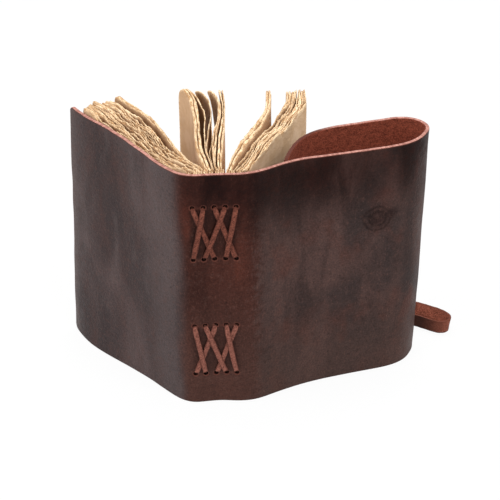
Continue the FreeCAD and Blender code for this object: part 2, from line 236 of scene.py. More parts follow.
def grain_leather():
    """Waxed pull-up leather: a grey-brown front cover, partly waxy bloom and partly a painted reflection,
    red-brown spine, dark back.
    """
    n = Nodes("leather_grain", 0.5, 0.08)
    st = n.attribute("st")
    s, z, edge = n.split(st)
    flat = n.scaled(st, (1.0, 1.0, 0.0))
    clouds = n.noise(n.scaled(st, (1.0, 0.5, 0.0)), 22.0, 3.0, 0.5, 0.6)
    streaks = n.noise(n.scaled(st, (1.0, 0.28, 0.0)), 55.0, 4.0, 0.55, 0.5)
    mottle = n.noise(flat, 190.0, 5.0, 0.68, 0.3)
    fibres = n.noise(n.scaled(st, (1.0, 0.4, 0.0)), 750.0, 3.0, 0.7)
    # Front cover: grey-brown, partly waxy bloom and partly a painted reflection of the bright floor; palest
    # in a strip beside the spine bend, a painted sheen.
    front = n.mix(n.remap(clouds, 0.34, 0.66), (0.035, 0.024, 0.024), (0.078, 0.053, 0.051))
    front = n.tinge(front, streaks, 0.45, 0.72, 0.6, (0.056, 0.027, 0.023))
    front = n.tinge(front, streaks, 0.44, 0.28, 0.5, (0.086, 0.064, 0.062))
    painted_sheen = n.window(s, (0.085, 0.108), (0.112, 0.124), after=0.25)
    front = n.mix(n.times(painted_sheen, 0.55), front, (0.083, 0.062, 0.061))
    # Lighter at the free edge: partly rubbed wear, partly a painted highlight where the edge catches the
    # light.
    front = n.tinge(front, s, 0.012, 0.0, 0.45, (0.10, 0.074, 0.070))
    # Spine: red-brown, nearly black towards its upper end.
    spine = n.mix(n.remap(streaks, 0.3, 0.7), (0.026, 0.007, 0.0045), (0.050, 0.015, 0.010))
    spine = n.tinge(spine, z, 0.105, 0.020, 0.55, (0.078, 0.036, 0.028))
    # Back cover: brown, with dark slate and red clouds.
    back = n.mix(n.remap(streaks, 0.3, 0.7), (0.032, 0.0185, 0.0165), (0.069, 0.038, 0.033))
    back = n.tinge(back, clouds, 0.50, 0.64, 0.8, (0.029, 0.020, 0.019))
    reds = n.noise(n.scaled(st, (1.0, 0.7, 0.0)), 44.0, 3.0, 0.6, 0.4)
    back = n.tinge(back, reds, 0.50, 0.75, 0.6, (0.070, 0.024, 0.017))
    back = n.tinge(back, z, 0.070, 0.010, 0.45, (0.074, 0.039, 0.031))
    bend = n.math("ADD", s, n.remap(streaks, 0.3, 0.7, -0.0015, 0.0015))
    colour = n.mix(n.remap(bend, 0.1165, 0.1285), front, spine)
    border = n.math("ADD", s, n.remap(mottle, 0.3, 0.7, -0.004, 0.004))
    colour = n.mix(n.remap(border, 0.168, 0.182), colour, back)
    # The upper third of spine and back is darker, in uneven tongues.
    upper = n.times(n.remap(z, 0.118, 0.168), n.remap(s, 0.119, 0.128))
    upper = n.times(upper, n.remap(streaks, 0.35, 0.62, 1.0, 0.65))
    # Darker between the holes of the lacing, and redder around it.
    middle = n.window(s, (0.127, 0.132), (0.156, 0.163))
    rows = n.math("MAXIMUM", n.window(z, (0.110, 0.117), (0.150, 0.158)),
                  n.window(z, (0.020, 0.027), (0.060, 0.067), 0.6))
    colour = n.mix(n.times(n.times(middle, rows), 0.6), colour, (0.020, 0.006, 0.004))
    glow = n.times(n.window(s, (0.120, 0.128), (0.160, 0.172)), n.window(z, (0.085, 0.110), (0.150, 0.170)))
    glow = n.times(glow, n.remap(streaks, 0.40, 0.62, 0.15, 0.75))
    colour = n.mix(n.times(glow, n.remap(middle, 0.3, 1.0, 1.0, 0.2)), colour, (0.085, 0.022, 0.013))
    # A round dark mark on the back cover: a dull disc with faint broken rings, and a blot.
    for place, inner, outer, depth, rings in (
            ((0.2605, 0.1245, 0.0), 0.003, 0.0150, 0.80, (0.0098, 0.0062)),
            ((0.2695, 0.1270, 0.0), 0.001, 0.0070, 0.75, ())):
        away = n.add("ShaderNodeVectorMath", {0: flat, 1: place}, "Value", operation="DISTANCE")
        away = n.math("ADD", away, n.remap(reds, 0.3, 0.7, -0.0012, 0.0012))
        colour = n.tinge(colour, away, outer, inner, depth, (0.017, 0.007, 0.006))
        for radius in rings:
            ring = n.math("ABSOLUTE", n.math("SUBTRACT", away, radius))
            broken = n.times(n.remap(ring, 0.0002, 0.0014, 0.55, 0.0), n.remap(streaks, 0.42, 0.56))
            colour = n.mix(broken, colour, (0.009, 0.004, 0.003))
    # Mottling, fine fibres, dark specks and thin pale scratches.
    specks = n.noise(flat, 330.0, 2.0, 0.5)
    for value, low, high, strength, tone in (
            (mottle, 0.50, 0.72, 0.28, (0.092, 0.050, 0.042)),
            (mottle, 0.50, 0.30, 0.30, (0.014, 0.007, 0.006)),
            (fibres, 0.52, 0.80, 0.55, (0.125, 0.055, 0.040)),
            (fibres, 0.46, 0.22, 0.50, (0.010, 0.004, 0.003)),
            (specks, 0.68, 0.76, 0.55, (0.012, 0.006, 0.005))):
        colour = n.tinge(colour, value, low, high, strength, tone)
    lines = n.noise(n.scaled(st, (1.0, 0.22, 0.0)), 95.0, 2.0, 0.5, 1.2)
    drawn = n.remap(n.math("ABSOLUTE", n.math("SUBTRACT", lines, 0.5)), 0.0, 0.003, 1.0, 0.0)
    scratch = n.times(drawn, n.remap(n.noise(flat, 38.0, 2.0), 0.56, 0.66))
    colour = n.mix(n.times(scratch, 0.5), colour, (0.17, 0.10, 0.08))
    colour = n.mix(upper, colour, n.mix(1.0, colour, (0.31, 0.125, 0.080), "MULTIPLY"))
    grain = n.remap(n.noise(flat, 780.0, 2.0, 0.6), 0.28, 0.72, 0.74, 1.24, "LINEAR")
    colour = n.mix(1.0, colour, grain, "MULTIPLY")
    # The upper edge, and the rims of the holes, are rubbed red-brown.
    rubbed = n.times(n.remap(edge, 0.0, 0.0011, 0.75, 0.0), n.remap(z, 0.004, 0.006))
    colour = n.mix(rubbed, colour, (0.13, 0.042, 0.029))
    pores = n.add("ShaderNodeTexVoronoi", {"Vector": flat, "Scale": 1500.0}, "Distance")
    normal = n.bump(pores, 0.18, 0.00035)
    normal = n.bump(n.noise(flat, 420.0, 5.0, 0.65), 0.32, 0.0007, normal)
    normal = n.bump(mottle, 0.25, 0.0022, normal)
    return n.finish(colour, normal, n.remap(mottle, 0.3, 0.75, 0.40, 0.60))


def suede(name, dark, light, clumps, half_width=0.0, outside=1.0):
    """Flesh side of leather: matt, mottled, with a short nap.

    A strip of suede is darker along its edges, a painted shade, and by outside on its outer side;
    where outside is below 1, a stretch of the outer side also gets a painted shadow where the strap comes
    out from behind the cover.
    """
    n = Nodes(name, 0.92, 0.25)
    st = n.attribute("st")
    coarse = n.noise(st, clumps, 4.0, 0.65, 0.4)
    fine = n.noise(st, 1100.0, 3.0, 0.7)
    factor = n.math("ADD", n.remap(coarse, 0.36, 0.64, 0.0, 0.3), n.remap(fine, 0.36, 0.64, 0.0, 0.7))
    colour = n.mix(factor, dark, light)
    if half_width:
        along, across, through = n.split(st)
        side = n.math("ABSOLUTE", across)
        # Painted shade: the strip's edges darken, standing in for the shadow lines along them.
        colour = n.tinge(colour, side, 0.6 * half_width, half_width, 0.7, dark)
        colour = n.tinge(colour, through, 0.0002, 0.0005, 1.0 - outside, dark)
        if outside < 1:
            # Painted shadow: a stretch of the strap's outer side, where it comes out from behind the cover,
            # is darkened.
            painted_shadow = n.window(along, (0.130, 0.160), (0.176, 0.200), 0.85)
            painted_shadow = n.times(painted_shadow, n.remap(through, 0.0, 0.0004))
            colour = n.mix(painted_shadow, colour, tuple(value * 0.15 for value in dark))
    normal = n.bump(fine, 0.55, 0.0006)
    return n.finish(colour, n.bump(coarse, 0.25, 0.0012, normal))


def cut_edge():
    """The pale salmon cut edge of the leather; towards the flap's end it is painted dark, a painted shadow
    from the pages.
    """
    n = Nodes("leather_edge", 0.85, 0.3)
    st = n.attribute("st")
    fibres = n.noise(n.scaled(st, (1.0, 1.0, 3.0)), 700.0, 4.0, 0.65)
    colour = n.mix(n.remap(fibres, 0.3, 0.7), (0.27, 0.105, 0.082), (0.58, 0.29, 0.235))
    colour = n.tinge(colour, n.noise(st, 90.0, 3.0), 0.42, 0.7, 0.45, (0.34, 0.15, 0.115))
    # Painted shadow: the cut edge darkens towards the flap's curled end, which the pages shade.
    colour = n.tinge(colour, n.split(st)[0], 0.372, 0.400, 1.0, (0.095, 0.023, 0.013))
    return n.finish(colour, n.bump(fibres, 0.5, 0.0005))


def punched_hole():
    """The wall of a punched hole: raw fibres, painted nearly black as painted shade inside the hole."""
    n = Nodes("leather_hole_shade", 0.8, 0.2)
    fibres = n.noise(n.attribute("st"), 900.0, 3.0, 0.6)
    colour = n.mix(n.remap(fibres, 0.3, 0.7), (0.010, 0.003, 0.002), (0.045, 0.014, 0.009))
    return n.finish(colour, n.bump(fibres, 0.4, 0.0004))


def deckle_paper():
    """Handmade cotton paper: tan faces, paler torn rims that are partly a painted highlight, brown fibres
    and foxing, painted shade between leaves.
    """
    n = Nodes("deckle_paper", 0.93, 0.2)
    # The paper glows faintly warm: painted light, standing in for light that thin paper lets through into
    # the gaps between leaves.
    n.shader.inputs["Emission Color"].default_value = (0.30, 0.14, 0.06, 1.0)
    n.shader.inputs["Emission Strength"].default_value = 0.10
    place = n.attribute("st")
    rim, tint, shade = n.split(n.attribute("leaf"))
    strands = n.noise(n.scaled(place, (0.16, 0.5, 1.6)), 900.0, 3.0, 0.6, 0.6)
    flecks = n.noise(n.scaled(place, (0.5, 0.5, 1.0)), 520.0, 3.0, 0.6, 0.4)
    clouds = n.noise(place, 55.0, 4.0, 0.6)
    fine = n.noise(place, 1500.0, 2.0, 0.7)
    face = n.mix(n.remap(clouds, 0.3, 0.7), (0.58, 0.385, 0.225), (0.74, 0.535, 0.36))
    face = n.mix(n.times(tint, 0.4), face, (0.50, 0.31, 0.165))
    # Torn rims are paler: partly the fibres' own colour, partly a painted highlight where the tops catch the
    # light.
    torn = n.mix(n.remap(strands, 0.38, 0.56), (0.46, 0.25, 0.105), (0.98, 0.78, 0.52))
    torn = n.tinge(torn, flecks, 0.56, 0.68, 0.70, (0.27, 0.125, 0.050))
    torn = n.mix(n.times(tint, 0.55), torn, (0.50, 0.31, 0.155))
    colour = n.mix(rim, face, torn)
    colour = n.tinge(colour, fine, 0.55, 0.8, 0.25, (0.32, 0.18, 0.09))
    # Painted shade: faces between leaves turn dark brown below their rims, where shade falls.
    colour = n.mix(n.times(shade, 0.85), colour, (0.17, 0.080, 0.035))
    normal = n.bump(strands, 0.40, 0.0009)
    normal = n.bump(flecks, 0.35, 0.0008, normal)
    return n.finish(colour, n.bump(clouds, 0.30, 0.003, normal))


GRAIN = grain_leather()
INNER = suede("leather_suede", (0.085, 0.015, 0.007), (0.365, 0.088, 0.047), 300.0)
EDGE = cut_edge()
HOLE_SHADE = punched_hole()
PAPER = deckle_paper()
LACE = suede("lace_suede", (0.090, 0.026, 0.018), (0.270, 0.100, 0.070), 300.0, 0.0017)
LACE_DARK = suede("lace_suede_dark", (0.050, 0.012, 0.007), (0.200, 0.060, 0.037), 260.0, 0.0017)
STRAP = suede("strap_suede", (0.125, 0.035, 0.020), (0.420, 0.130, 0.080), 250.0, 0.0048, 0.45)

# --- camera ------------------------------------------------------------------
CAMERA_PLACE = (0.0228, -0.8956, 0.6808)
CAMERA_TILT = 58.0
CAMERA_LENS = 117.52
CAMERA_SENSOR = 36.0
CAMERA_REACH = 50.0

camera = show("camera", bpy.data.cameras.new("camera"))
camera.data.lens = CAMERA_LENS
camera.data.sensor_width = CAMERA_SENSOR
camera.data.clip_end = CAMERA_REACH
camera.location = CAMERA_PLACE
camera.rotation_euler = (math.radians(CAMERA_TILT), 0.0, 0.0)
bpy.context.scene.camera = camera

# --- tie strap: one cord, on its edge, then rolled up flat --------------------
STRAP_FLOOR = 4.9
COIL_CENTRE = (112.0, 124.0)
COIL_OUTER = 20.9
COIL_INNER = 8.4
COIL_PITCH = 3.0
COIL_STEPS = 16
LOOP_FLARE = 0.50
# The route runs down from the knot to the floor, then along it to the roll.
STRAP_DOWN = (
    (47.93, 27.93, 89.0), (41.23, 29.98, 89.0), (36.6, 32.0, 82.6), (38.4, 37.4, 74.2),
    (43.2, 44.2, 66.6), (50.4, 53.2, 57.0), (58.8, 62.0, 45.5), (68.6, 69.6, 33.0), (80.0, 76.0, 21.0),
    (92.4, 81.2, 11.6), (105.2, 85.8, 6.2),
)
STRAP_ALONG = (
    (118.0, 90.6), (130.2, 93.6), (142.0, 90.6), (151.4, 84.8), (159.6, 80.0), (166.4, 81.2),
    (168.0, 88.2), (163.2, 94.8), (154.6, 100.2), (143.6, 106.0), (131.4, 109.2), (120.7, 105.0),
)
STRAP_ROUTE = STRAP_DOWN + tuple((x, y, STRAP_FLOOR) for x, y in STRAP_ALONG)


def coil_points():
    """The rolled-up end: a flat spiral that starts where the route ends."""
    x, y, _ = STRAP_ROUTE[-1]
    start = math.atan2(y - COIL_CENTRE[1], x - COIL_CENTRE[0])
    turns = (COIL_OUTER - COIL_INNER) / COIL_PITCH
    points = []
    for i in range(1, int(turns * COIL_STEPS) + 1):
        angle = start - 2 * math.pi * i / COIL_STEPS
        radius = COIL_OUTER - COIL_PITCH * i / COIL_STEPS
        points.append((COIL_CENTRE[0] + radius * math.cos(angle),
                       COIL_CENTRE[1] + radius * math.sin(angle), STRAP_FLOOR))
    return points


def spline_path(name, points):
    """Points along the smooth NURBS line that a cord's route controls."""
    curve = bpy.data.curves.new(name, "CURVE")
    curve.dimensions = "3D"
    curve.resolution_u = 6
    spline = curve.splines.new("NURBS")
    spline.points.add(len(points) - 1)
    for point, place in zip(spline.points, points):
        point.co = (place[0] * MM, place[1] * MM, place[2] * MM, 1.0)
    spline.order_u = 3
    spline.use_endpoint_u = True
    holder = bpy.data.objects.new(name, curve)
    mesh = bpy.data.meshes.new_from_object(holder)
    line = np.array([v.co for v in mesh.vertices]) / MM
    bpy.data.objects.remove(holder)
    bpy.data.curves.remove(curve)
    bpy.data.meshes.remove(mesh)
    return line


def rounded_section(r):
    """A unit square section with round corners, as (across, through) points."""
    points = []
    for sx, sy, start in ((1, -1, -90), (1, 1, 0), (-1, 1, 90), (-1, -1, 180)):
        for k in (0, 45, 90):
            angle = math.radians(start + k)
            points.append((sx * (0.5 - r) + r * math.cos(angle), sy * (0.5 - r) + r * math.sin(angle)))
        if sx == sy:
            points += [(sx * (0.5 - r) * f, sy * 0.5) for f in (0.5, 0.0, -0.5)]
    return np.array(points)


def strip_mesh(line, across, through, width, thick, seed=0, fuzz=0.0):
    """Points, faces and attributes of a flat strip swept along a line."""
    line = np.asarray(line, float)
    count = len(line)
    along = distances(line)
    width = np.broadcast_to(width, count)
    thick = np.broadcast_to(thick, count)
    section = rounded_section(SECTION_CORNER)
    verts, st = [], []
    for i in range(count):
        w, t = section[:, 0] * width[i], section[:, 1] * thick[i]
        w = w + np.sign(w) * fuzz * wave(along[i] + 7 * np.sign(w), seed, 1.7)
        t = t + fuzz * 0.5 * wave(along[i] + 3 * np.sign(w), seed + 1, 2.3)
        verts.append(line[i] + np.outer(w, across[i]) + np.outer(t, through[i]))
        st.append(np.column_stack([np.full(len(w), along[i]), w, t]))
    m = len(section)
    faces = []
    for i in range(count - 1):
        for k in range(m):
            a, b = i * m + k, i * m + (k + 1) % m
            faces.append((a, b, b + m, a + m))
    faces.append(tuple(reversed(range(m))))
    faces.append(tuple(range((count - 1) * m, count * m)))
    return np.vstack(verts), faces, np.vstack(st) * MM


def join_parts(parts):
    """Several parts as one; each is points, faces, and one or more values on the points."""
    faces, base = [], 0
    for part in parts:
        faces += [tuple(index + base for index in face) for face in part[1]]
        base += len(part[0])
    points, *values = (np.vstack([part[k] for part in parts]) for k in range(len(parts[0])) if k != 1)
    return (points, faces, *values)


strap_line = spline_path("strap_line", list(STRAP_ROUTE) + coil_points())
tangent = unit(np.gradient(strap_line, axis=0))
upright = unit(np.array([0.0, 0.0, 1.0]) - tangent * tangent[:, 2:3])
# At the turn and on the far side of its free loop the strap leans outwards.
flare = LOOP_FLARE * np.clip((strap_line[:, :1] - 138.0) / 12.0, 0, 1)
flare = flare * np.clip(0.5 - tangent[:, :1] * 1.1, 0, 1)
upright = unit(upright + np.cross(tangent, upright) * flare)
strap_verts, strap_faces, strap_st = strip_mesh(
    strap_line, upright, np.cross(tangent, upright), STRAP_WIDTH, STRAP_THICK, 5, 0.12)
strap_verts[:, 2] = np.maximum(strap_verts[:, 2], 0.02)
strap = new_mesh("tie_strap_visual", strap_verts, strap_faces, [STRAP], attributes={"st": strap_st})
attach(strap, "flap")
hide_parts("tie_strap", "tie_coil")

# --- the leather sheet's plan --------------------------------------------------
# (length share of the panel, turn in degrees), from the free edge of the front
# cover to the end of the flap; a turn above 0 curls towards the pages.
FRONT_LOW = ((0.07, 8), (0.22, 20.5), (0.24, 3.5), (0.24, -7), (0.16, 4.5), (0.07, 20))
FRONT_HIGH = ((0.07, 5.5), (0.22, 10), (0.24, -8.5), (0.24, -2), (0.16, 10.5), (0.07, 22.5))
SPINE_LOW = ((0.22, 33), (0.31, -2.5), (0.22, -13), (0.25, 12.5))
SPINE_HIGH = ((0.22, 29), (0.31, 2), (0.22, -9.5), (0.25, 9.5))
BACK_LOW = ((0.11, 24), (0.20, -3.5), (0.23, -7.5), (0.20, -2.5), (0.09, 3.5), (0.09, 16), (0.08, 26))
BACK_HIGH = ((0.11, 30), (0.20, -18), (0.23, -4.5), (0.20, -1), (0.09, 5.5), (0.09, 14.5), (0.08, 22.5))
FLAP_REST = ((0.081, 37), (0.095, 35.5), (0.232, -2), (0.163, 23), (0.122, 26), (0.108, 9), (0.05, -3))
FLAP_LOW = ((0.068, 10), (0.081, 56.5)) + FLAP_REST
FLAP_HIGH = ((0.068, 11), (0.081, 58)) + FLAP_REST
ANCHOR = (-19.75, -1.70)
ANCHOR_HEADING = -21.5
PLAN_STEP = 0.25
BEND_BLUR = 2.6


def plan_curve(panels):
    """Outer face of the sheet at one height: positions and headings along s."""
    s = np.arange(-PLAN_STEP * 40, SHEET_END + PLAN_STEP * 40, PLAN_STEP)
    bend = np.zeros_like(s)
    start = 0.0
    for width, turns in panels:
        total = sum(share for share, _ in turns)
        for share, turn in turns:
            length = width * share / total
            bend[(s >= start) & (s < start + length)] = math.radians(turn) / length
            start += length
    reach = int(4 * BEND_BLUR / PLAN_STEP)
    kernel = np.exp(-0.5 * (np.arange(-reach, reach + 1) * PLAN_STEP / BEND_BLUR) ** 2)
    bend = np.convolve(bend, kernel / kernel.sum(), mode="same")
    heading = np.cumsum(bend) * PLAN_STEP
    at = np.argmin(abs(s - SEAM_LEFT))
    heading += math.radians(ANCHOR_HEADING) - heading[at]
    x = np.cumsum(np.cos(heading)) * PLAN_STEP
    y = np.cumsum(np.sin(heading)) * PLAN_STEP
    return s, x - x[at] + ANCHOR[0], y - y[at] + ANCHOR[1], heading


LOW = plan_curve(((FRONT, FRONT_LOW), (SPINE, SPINE_LOW), (BACK, BACK_LOW), (FLAP, FLAP_LOW)))
HIGH = plan_curve(((FRONT, FRONT_HIGH), (SPINE, SPINE_HIGH), (BACK, BACK_HIGH), (FLAP, FLAP_HIGH)))


def sheet_point(s, z, depth):
    """Points of the leather at s, z and a depth below its grain face."""
    s, z, depth = np.broadcast_arrays(*(np.asarray(v, float) for v in (s, z, depth)))
    share = z / HEIGHT
    low = [np.interp(s, LOW[0], LOW[k]) for k in (1, 2, 3)]
    high = [np.interp(s, HIGH[0], HIGH[k]) for k in (1, 2, 3)]
    x, y, heading = (a + (b - a) * share for a, b in zip(low, high))
    calm = np.clip(np.minimum(abs(s - SEAM_LEFT), abs(s - SEAM_RIGHT)) / 25.0, 0.25, 1.0)
    sway = calm * (0.45 * ripple(s, z, 11, 34.0) + 0.18 * ripple(s, z, 12, 15.0))
    inward = depth + sway
    return np.stack([x - np.sin(heading) * inward, y + np.cos(heading) * inward, z], axis=-1)


def spine_s(x):
    """s of the place on the spine at x."""
    middle = (LOW[1] + HIGH[1]) / 2
    near = (LOW[0] > SEAM_LEFT - 5) & (LOW[0] < SEAM_RIGHT + 5)
    return float(np.interp(x, middle[near], LOW[0][near]))


HOLE_OFFSETS = (-2.7, -2.0, -1.3, -0.65, 0.0, 0.65, 1.3, 2.0, 2.7)
HOLE_CELL = 1.3
HOLE_WARP = 3.4
EDGE_LINES = (0.0, 0.12, 0.35, 0.9, 2.0)
EDGE_ROUND = 0.4
FREE_CORNER = 4.0
ROW_STEP = 3.2
RIM = 0.15
END_ZONE = 5
SHADE_STEP = 0.4
# The faces' materials, as places in the list of a leather piece.
OUTSIDE, CUT, INSIDE, WALL = range(4)


def grid_lines(low, high, step, extra=(), free_low=False, free_high=False):
    """Sorted grid positions: given ones, close ones at free edges, and a fill."""
    fixed = {low, high}
    fixed.update(v for v in extra if low < v < high)
    if free_low:
        fixed.update(low + e for e in EDGE_LINES)
    if free_high:
        fixed.update(high - e for e in EDGE_LINES)
    fixed = sorted(fixed)
    out = []
    for a, b in zip(fixed, fixed[1:]):
        parts = max(1, int(math.ceil((b - a) / step)))
        out += [a + (b - a) * k / parts for k in range(parts)]
    return np.array(out + [fixed[-1]])


def leather_piece(name, s_low, s_high, step, free_low=False, free_high=False, holes=(), slit=None):
    """One closed piece of the sheet between two places along it."""
    extra_s = [h[0] + o for h in holes for o in HOLE_OFFSETS]
    extra_z = [z + o for z in sorted({h[1] for h in holes}) for o in HOLE_OFFSETS]
    if slit:
        extra_s += slit[:2]
        extra_z += slit[2:]
    s_lines = grid_lines(s_low, s_high, step, extra_s, free_low, free_high)
    z_lines = grid_lines(0.0, HEIGHT, ROW_STEP, extra_z, True, True)
    s, z = np.meshgrid(s_lines, z_lines, indexing="ij")
    edge = np.minimum(z, HEIGHT - z)
    if free_low:
        edge = np.minimum(edge, s - s_low)
    if free_high:
        edge = np.minimum(edge, s_high - s)
    keep = np.ones((len(s_lines) - 1, len(z_lines) - 1), bool)
    middle_s = (s_lines[1:] + s_lines[:-1]) / 2
    middle_z = (z_lines[1:] + z_lines[:-1]) / 2
    base_s, base_z = s.copy(), z.copy()
    for hole_s, hole_z in holes:
        p, q = base_s - hole_s, base_z - hole_z
        box = np.maximum(abs(p), abs(q))
        away = np.maximum(np.hypot(p, q), 1e-6)
        t = np.clip((box - HOLE_CELL) / (HOLE_WARP - HOLE_CELL), 0, 1)
        near = box < HOLE_WARP
        pull = (1 - t) * HOLE_RADIUS / away + t
        s[near], z[near] = (hole_s + p * pull)[near], (hole_z + q * pull)[near]
        from_rim = abs(np.hypot(s - hole_s, z - hole_z) - HOLE_RADIUS)
        edge = np.minimum(edge, np.where(near, from_rim, edge))
        inside = np.outer(abs(middle_s - hole_s) < HOLE_CELL, abs(middle_z - hole_z) < HOLE_CELL)
        keep &= ~inside
    if slit:
        keep &= ~np.outer((middle_s > slit[0]) & (middle_s < slit[1]),
                          (middle_z > slit[2]) & (middle_z < slit[3]))
    # Free corners are cut round, and the long edges waver a little.
    for free, distance in ((free_low, s - s_low), (free_high, s_high - s)):
        if free:
            back = np.clip(FREE_CORNER - distance, 0, FREE_CORNER)
            drop = FREE_CORNER - np.sqrt(FREE_CORNER ** 2 - back ** 2)
            z = HEIGHT / 2 + (z - HEIGHT / 2) * (1 - 2 * drop / HEIGHT)
    top = np.clip((z - HEIGHT * 0.8) / (HEIGHT * 0.2), 0, 1)
    z_place = z + top * (0.30 * wave(s, 21, 19.0) + 0.10 * wave(s, 22, 5.0) - 0.25)
    rounded = np.clip(EDGE_ROUND - edge, 0, EDGE_ROUND)
    inset = EDGE_ROUND - np.sqrt(np.maximum(EDGE_ROUND ** 2 - rounded ** 2, 0))
    thin = 0.12 * ripple(s, z, 31, 9.0) * np.clip(edge / 2, 0, 1)
    outer = sheet_point(s, z, inset)
    inner = sheet_point(s, z, LEATHER - inset + thin)
    outer[..., 2] = inner[..., 2] = z_place
    rows, columns = s.shape
    count = rows * columns
    ids = np.arange(count).reshape(rows, columns)
    faces, kinds = [], []
    for i in range(rows - 1):
        for j in range(columns - 1):
            if not keep[i, j]:
                continue
            a, b, c, d = ids[i, j], ids[i + 1, j], ids[i + 1, j + 1], ids[i, j + 1]
            near_edge = max(edge[i, j], edge[i + 1, j], edge[i + 1, j + 1], edge[i, j + 1]) < RIM
            at_hole = edge[i, j] < RIM and min(z[i, j], HEIGHT - z[i, j]) > END_ZONE
            faces.append((a, b, c, d))
            kinds.append(OUTSIDE if not near_edge or at_hole else CUT)
            faces.append((count + a, count + d, count + c, count + b))
            kinds.append(INSIDE if not near_edge or at_hole else CUT)
            for di, dj, p, q in ((-1, 0, d, a), (1, 0, b, c), (0, -1, a, b), (0, 1, c, d)):
                ni, nj = i + di, j + dj
                if 0 <= ni < rows - 1 and 0 <= nj < columns - 1:
                    wall = None if keep[ni, nj] else WALL
                elif (ni < 0 and not free_low) or (ni >= rows - 1 and not free_high):
                    wall = None
                else:
                    wall = CUT
                if wall is not None:
                    faces.append((q, p, count + p, count + q))
                    kinds.append(wall)
    verts = np.vstack([outer.reshape(-1, 3), inner.reshape(-1, 3)])
    st = np.stack([s, z, edge], axis=-1).reshape(-1, 3) * MM
    st = np.vstack([st, st])
    used = np.zeros(2 * count, bool)
    for face in faces:
        used[list(face)] = True
    renumber = np.cumsum(used) - 1
    faces = [tuple(renumber[index] for index in face) for face in faces]
    verts = verts[used]
    st = st[used]
    # A cut has a face of its own, so the shading runs on into the next piece.
    for row, free in ((0, free_low), (rows - 1, free_high)):
        if not free:
            cap = np.r_[ids[row], (ids[row] + count)[::-1]]
            cap = renumber[cap[::-1] if row == 0 else cap]
            faces.append(tuple(range(len(verts), len(verts) + len(cap))))
            kinds.append(INSIDE)
            verts = np.vstack([verts, verts[cap]])
            st = np.vstack([st, st[cap]])
    piece = new_mesh(name, verts, faces, [GRAIN, EDGE, INNER, HOLE_SHADE], kinds, {"st": st})
    normals = np.array([v.normal for v in piece.data.vertices])
    for row, free in ((0, free_low), (rows - 1, free_high)):
        if not free:
            calm = edge[row] > 2.2
            at_s, at_z = s[row][calm], z[row][calm]
            for side, depth, sign in ((0, 0.0, 1.0), (count, LEATHER, -1.0)):
                here = renumber[ids[row][calm] + side]
                along, up = (sheet_point(at_s + ds, at_z + dz, depth)
                             - sheet_point(at_s - ds, at_z - dz, depth)
                             for ds, dz in ((SHADE_STEP, 0.0), (0.0, SHADE_STEP)))
                normals[here] = sign * unit(np.cross(along, up))
    piece.data.normals_split_custom_set_from_vertices(normals.tolist())
    return piece


COLUMN_S = [spine_s(x) for x in HOLE_X]
HOLE_ROWS = UPPER_ROWS + LOWER_ROWS
SPLIT_SPINE = (COLUMN_S[1] + COLUMN_S[2]) / 2
SPLIT_CURL = SEAM_FLAP - 22.0
SPLIT_FLAP = SEAM_FLAP + 27.0
SLIT_S = SHEET_END - 12.0
SLIT_Z = 89.0
SLIT_HALF_WIDTH, SLIT_HALF_HEIGHT = 1.4, 4.8

front_leather = leather_piece("leather_front", 0.0, SPLIT_SPINE, 2.0, free_low=True,
                              holes=[(s, z) for s in COLUMN_S[:2] for z in HOLE_ROWS])
back_leather = leather_piece("leather_back", SPLIT_SPINE, SPLIT_CURL, 2.0,
                             holes=[(s, z) for s in COLUMN_S[2:] for z in HOLE_ROWS])
curl_leather = leather_piece("leather_curl", SPLIT_CURL, SPLIT_FLAP, 1.4)
flap_leather = leather_piece("leather_flap", SPLIT_FLAP, SHEET_END, 1.8, free_high=True,
                             slit=(SLIT_S - SLIT_HALF_WIDTH, SLIT_S + SLIT_HALF_WIDTH,
                                   SLIT_Z - SLIT_HALF_HEIGHT, SLIT_Z + SLIT_HALF_HEIGHT))
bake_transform(front_leather)
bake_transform(back_leather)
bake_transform(curl_leather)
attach(flap_leather, "flap")
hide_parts("front_cover", "spine_panel")
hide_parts("back_cover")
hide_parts("flap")

# --- the strap's knotted end, inside the flap ----------------------------------
KNOT_DEPTH = 3.2
# (half height, depth before flattening, lean) of the knot's two turns
KNOT_TURNS = ((6.2, 2.3, 0.25), (5.4, 2.6, -0.35))


def knot_mesh():
    """Two turns of the strap pulled into a flat knot, and its neck through the slit."""
    centre = sheet_point(SLIT_S, SLIT_Z, LEATHER + KNOT_DEPTH)
    heading = float(np.interp(SLIT_S, HIGH[0], HIGH[3]))
    along = np.array([math.cos(heading), math.sin(heading), 0.0])
    inward = np.array([-math.sin(heading), math.cos(heading), 0.0])
    up = np.array([0.0, 0.0, 1.0])
    parts = []
    for k, (tall, wide, lean) in enumerate(KNOT_TURNS):
        t = np.linspace(0, 2 * math.pi, 49)
        line = centre + np.outer(np.cos(t) * wide, inward * 0.75) + np.outer(np.sin(t) * tall, up)
        line = line + np.outer(np.cos(t) * lean * 3 + np.sin(t) * lean * 5 * (1 if k else -1), along)
        direction = unit(np.gradient(line, axis=0))
        side = unit(np.cross(direction, np.cross(along, direction)))
        parts.append(strip_mesh(line, side, np.cross(direction, side), 4.2 - k, 1.5, 40 + k, 0.1))
    neck_end = sheet_point(SLIT_S, SLIT_Z, -0.6)
    neck = np.linspace(neck_end, sheet_point(SLIT_S, SLIT_Z, LEATHER + 2.0), 6)
    parts.append(strip_mesh(neck, np.tile(up, (6, 1)), np.tile(along, (6, 1)), 9.0, 2.2, 44))
    return join_parts(parts)


knot_verts, knot_faces, knot_st = knot_mesh()
knot = new_mesh("tie_knot_visual", knot_verts, knot_faces, [STRAP], attributes={"st": knot_st})
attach(knot, "flap")
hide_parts("tie_knot")


# --- laces ----------------------------------------------------------------------
# (column in the row nearer the end, column in the row nearer the middle, layer)
STITCHES = ((0, 2, 0), (2, 4, 0), (1, 0, 1), (3, 1, 1), (4, 3, 1))
FOLD_Y = 7.6
LACE_ENTRY = 1.0
RUN_WIDTH, RUN_THICK = 3.6, 1.1
NECK_SIZE = 2.9


